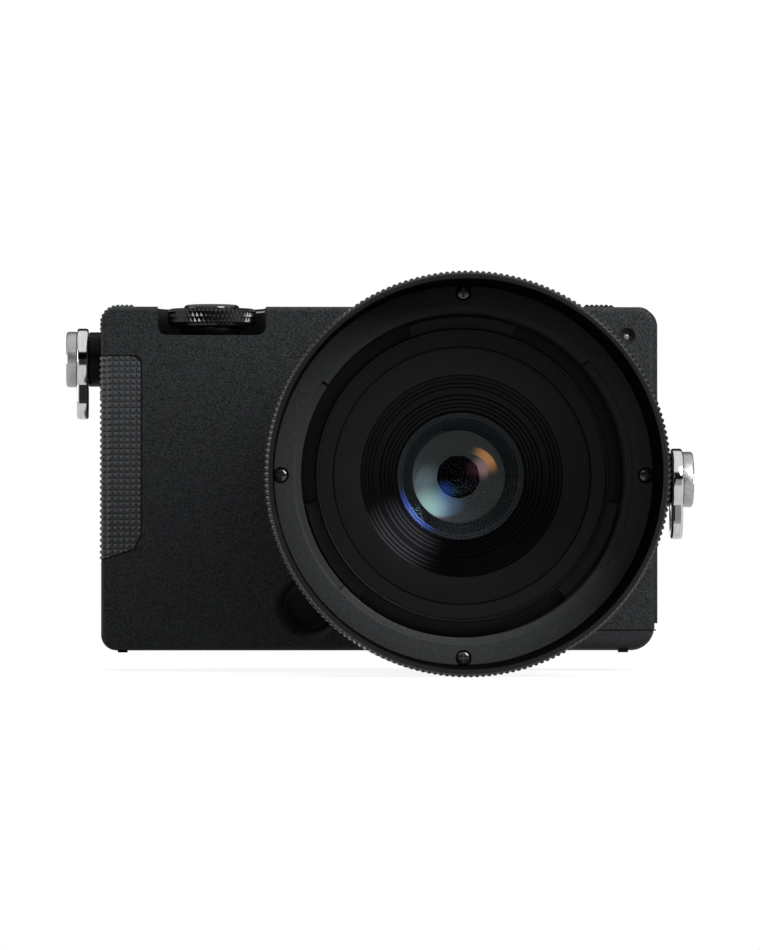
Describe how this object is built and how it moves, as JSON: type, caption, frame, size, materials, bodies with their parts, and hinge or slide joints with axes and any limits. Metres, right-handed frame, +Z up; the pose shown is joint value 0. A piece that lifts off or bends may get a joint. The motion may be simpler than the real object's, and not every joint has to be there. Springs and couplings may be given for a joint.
{
  "type": "mirrorless camera",
  "caption": "Boxy mirrorless camera with a compact prime lens, a serrated cylindrical metal hood, a knurled front dial and strap holders on both sides.",
  "frame": {"origin": "centre of the mouth of the bottom tripod socket, straight below the lens axis", "axes": "+Z up, -Y the way the lens points, +X to the right as seen from the front"},
  "size_m": [0.1285, 0.1185, 0.0783],
  "materials": {
    "black_casing": "fine matte paint on aluminium",
    "dark_metal": "black anodised aluminium",
    "hood_metal": "satin black anodised aluminium",
    "grip_rubber": "moulded rubber",
    "cover_rubber": "smooth rubber",
    "polished_steel": "finely brushed",
    "mount_steel": "satin",
    "black_screw": "blackened",
    "gloss_black": "gloss",
    "matte_black": "matt",
    "record_red": "satin",
    "screen_glass": "gloss black",
    "clear_glass": "coated",
    "circuit_board": "solder mask",
    "cell": "matt",
    "sensor_face": "gloss",
    "blade_steel": "grey film",
    "lamp": "clear amber"
  },
  "bodies": {
    "camera": {"front_case": "black_casing", "rear_case": "black_casing", "heat_sink": "dark_metal", "grip_strip": "grip_rubber", "thumb_grip": "grip_rubber", "bottom_corner_cover": "black_casing", "body_mount_ring": "mount_steel", "body_screws": "black_screw", "sensor_unit": "sensor_face", "main_board": "circuit_board", "battery": "cell", "tripod_sockets": "mount_steel", "strap_screws": "polished_steel", "strap_spacers": "cover_rubber", "lcd_glass": "screen_glass", "dial_bezel": "gloss_black", "af_lamp": "lamp", "feet": "cover_rubber"},
    "shutter": {"shutter_button": "dark_metal"},
    "dial": {"front_dial": "dark_metal"},
    "record": {"record_button": "record_red"},
    "power": {"power_switch": "dark_metal"},
    "mode": {"mode_switch": "dark_metal"},
    "back_dial": {"rear_dial": "matte_black"},
    "ok": {"ok_button": "matte_black"},
    "lock": {"lock_button": "matte_black"},
    "quick": {"quick_button": "matte_black"},
    "menu": {"menu_button": "matte_black"},
    "release": {"release_button": "dark_metal", "lock_pin": "mount_steel"},
    "door": {"battery_door": "matte_black"},
    "latch": {"door_latch": "matte_black"},
    "upper_cover": {"upper_port_cover": "cover_rubber"},
    "lower_cover": {"lower_port_cover": "cover_rubber"},
    "eyelet_left": {"strap_eyelet_left": "polished_steel"},
    "eyelet_right": {"strap_eyelet_right": "polished_steel"},
    "lens": {"lens_mount_ring": "mount_steel", "lens_barrel": "dark_metal", "front_barrel": "dark_metal", "front_trim_ring": "matte_black", "front_lens": "clear_glass", "rear_lens": "clear_glass", "iris_housing": "matte_black"},
    "aperture": {"aperture_ring": "dark_metal"},
    "focus": {"focus_ring": "dark_metal"},
    "focus_mode": {"focus_switch": "matte_black"},
    "focus_cell": {"focus_group": "clear_glass"},
    "iris_drive": {"iris_ring": "dark_metal"},
    "hood": {"hood_base": "hood_metal", "hood_shell": "hood_metal", "hood_screws": "black_screw"},
    "blade_1": {"iris_blade_1": "blade_steel"},
    "blade_2": {"iris_blade_2": "blade_steel"},
    "blade_3": {"iris_blade_3": "blade_steel"},
    "blade_4": {"iris_blade_4": "blade_steel"},
    "blade_5": {"iris_blade_5": "blade_steel"},
    "blade_6": {"iris_blade_6": "blade_steel"},
    "blade_7": {"iris_blade_7": "blade_steel"},
    "blade_8": {"iris_blade_8": "blade_steel"},
    "blade_9": {"iris_blade_9": "blade_steel"}
  },
  "joints": [
    {"name": "shutter_press", "type": "slide", "parent": "camera", "child": "shutter", "axis": [0, 0, -1], "range_m": [0, 0.0007], "stiffness_N_per_m": 800},
    {"name": "record_press", "type": "slide", "parent": "camera", "child": "record", "axis": [0, 0, -1], "range_m": [0, 0.0006], "stiffness_N_per_m": 800},
    {"name": "ok_press", "type": "slide", "parent": "camera", "child": "ok", "axis": [0, -1, 0], "range_m": [0, 0.0006], "stiffness_N_per_m": 800},
    {"name": "lock_press", "type": "slide", "parent": "camera", "child": "lock", "axis": [0, -1, 0], "range_m": [0, 0.0006], "stiffness_N_per_m": 800},
    {"name": "quick_press", "type": "slide", "parent": "camera", "child": "quick", "axis": [0, -1, 0], "range_m": [0, 0.0006], "stiffness_N_per_m": 800},
    {"name": "menu_press", "type": "slide", "parent": "camera", "child": "menu", "axis": [0, -1, 0], "range_m": [0, 0.0006], "stiffness_N_per_m": 800},
    {"name": "release_press", "type": "slide", "parent": "camera", "child": "release", "axis": [0, 1, 0], "range_m": [0, 0.0015], "stiffness_N_per_m": 800},
    {"name": "power_slide", "type": "slide", "parent": "camera", "child": "power", "axis": [-1, 0, 0], "range_m": [0, 0.004]},
    {"name": "mode_slide", "type": "slide", "parent": "camera", "child": "mode", "axis": [1, 0, 0], "range_m": [0, 0.004]},
    {"name": "dial_turn", "type": "hinge", "parent": "camera", "child": "dial", "pos_m": [-0.0489, -0.0077, 0.067], "axis": [0, 0, 1], "continuous": true},
    {"name": "back_dial_turn", "type": "hinge", "parent": "camera", "child": "back_dial", "pos_m": [-0.0603, 0.0225, 0.03006], "axis": [0, 1, 0], "continuous": true},
    {"name": "door_hinge", "type": "hinge", "parent": "camera", "child": "door", "pos_m": [-0.0342, -0.0059, 0.00075], "axis": [0, -1, 0], "range_deg": [0, 90]},
    {"name": "latch_slide", "type": "slide", "parent": "door", "child": "latch", "axis": [1, 0, 0], "range_m": [0, 0.0015]},
    {"name": "upper_cover_hinge", "type": "hinge", "parent": "camera", "child": "upper_cover", "pos_m": [0.04145, 0.007, 0.0532], "axis": [0, 0, 1], "range_deg": [0, 100]},
    {"name": "lower_cover_hinge", "type": "hinge", "parent": "camera", "child": "lower_cover", "pos_m": [0.04145, 0.007, 0.0141], "axis": [0, 0, 1], "range_deg": [0, 100]},
    {"name": "left_eyelet_swing", "type": "hinge", "parent": "camera", "child": "eyelet_left", "pos_m": [-0.07525, -0.004, 0.0595], "axis": [1, 0, 0], "continuous": true},
    {"name": "right_eyelet_swing", "type": "hinge", "parent": "camera", "child": "eyelet_right", "pos_m": [0.04655, -0.004, 0.03495], "axis": [1, 0, 0], "continuous": true},
    {"name": "lens_turn", "type": "hinge", "parent": "camera", "child": "lens", "pos_m": [0, -0.0203, 0.03495], "axis": [0, -1, 0], "range_deg": [0, 60]},
    {"name": "aperture_turn", "type": "hinge", "parent": "lens", "child": "aperture", "pos_m": [0, -0.0324, 0.03495], "axis": [0, -1, 0], "range_deg": [-30, 35]},
    {"name": "focus_turn", "type": "hinge", "parent": "lens", "child": "focus", "pos_m": [0, -0.0524, 0.03495], "axis": [0, -1, 0], "continuous": true},
    {"name": "focus_mode_slide", "type": "slide", "parent": "lens", "child": "focus_mode", "axis": [0, 1, 0], "range_m": [0, 0.0025]},
    {"name": "focus_cell_slide", "type": "slide", "parent": "lens", "child": "focus_cell", "axis": [0, -1, 0], "range_m": [-0.003, 0.003]},
    {"name": "iris_turn", "type": "hinge", "parent": "lens", "child": "iris_drive", "pos_m": [0, -0.0473, 0.03495], "axis": [0, -1, 0], "range_deg": [-11.53, 8.47]},
    {"name": "blade_1_swing", "type": "hinge", "parent": "lens", "child": "blade_1", "pos_m": [0.00034, -0.0453, 0.02035], "axis": [0, -1, 0], "range_deg": [-17.4, 12.8]},
    {"name": "blade_2_swing", "type": "hinge", "parent": "lens", "child": "blade_2", "pos_m": [0.00965, -0.0453, 0.02399], "axis": [0, -1, 0], "range_deg": [-17.4, 12.8]},
    {"name": "blade_3_swing", "type": "hinge", "parent": "lens", "child": "blade_3", "pos_m": [0.01443, -0.0453, 0.03275], "axis": [0, -1, 0], "range_deg": [-17.4, 12.8]},
    {"name": "blade_4_swing", "type": "hinge", "parent": "lens", "child": "blade_4", "pos_m": [0.01247, -0.0453, 0.04255], "axis": [0, -1, 0], "range_deg": [-17.4, 12.8]},
    {"name": "blade_5_swing", "type": "hinge", "parent": "lens", "child": "blade_5", "pos_m": [0.00467, -0.0453, 0.04878], "axis": [0, -1, 0], "range_deg": [-17.4, 12.8]},
    {"name": "blade_6_swing", "type": "hinge", "parent": "lens", "child": "blade_6", "pos_m": [-0.00532, -0.0453, 0.04855], "axis": [0, -1, 0], "range_deg": [-17.4, 12.8]},
    {"name": "blade_7_swing", "type": "hinge", "parent": "lens", "child": "blade_7", "pos_m": [-0.01281, -0.0453, 0.04195], "axis": [0, -1, 0], "range_deg": [-17.4, 12.8]},
    {"name": "blade_8_swing", "type": "hinge", "parent": "lens", "child": "blade_8", "pos_m": [-0.01431, -0.0453, 0.03208], "axis": [0, -1, 0], "range_deg": [-17.4, 12.8]},
    {"name": "blade_9_swing", "type": "hinge", "parent": "lens", "child": "blade_9", "pos_m": [-0.00912, -0.0453, 0.02355], "axis": [0, -1, 0], "range_deg": [-17.4, 12.8]},
    {"name": "hood_turn", "type": "hinge", "parent": "lens", "child": "hood", "pos_m": [0, -0.066, 0.03495], "axis": [0, -1, 0], "range_deg": [0, 60]}
  ],
  "couplings": [
    {"joint": "blade_1_swing", "follows": "iris_turn", "ratio": 1.5},
    {"joint": "blade_2_swing", "follows": "iris_turn", "ratio": 1.5},
    {"joint": "blade_3_swing", "follows": "iris_turn", "ratio": 1.5},
    {"joint": "blade_4_swing", "follows": "iris_turn", "ratio": 1.5},
    {"joint": "blade_5_swing", "follows": "iris_turn", "ratio": 1.5},
    {"joint": "blade_6_swing", "follows": "iris_turn", "ratio": 1.5},
    {"joint": "blade_7_swing", "follows": "iris_turn", "ratio": 1.5},
    {"joint": "blade_8_swing", "follows": "iris_turn", "ratio": 1.5},
    {"joint": "blade_9_swing", "follows": "iris_turn", "ratio": 1.5}
  ]
}
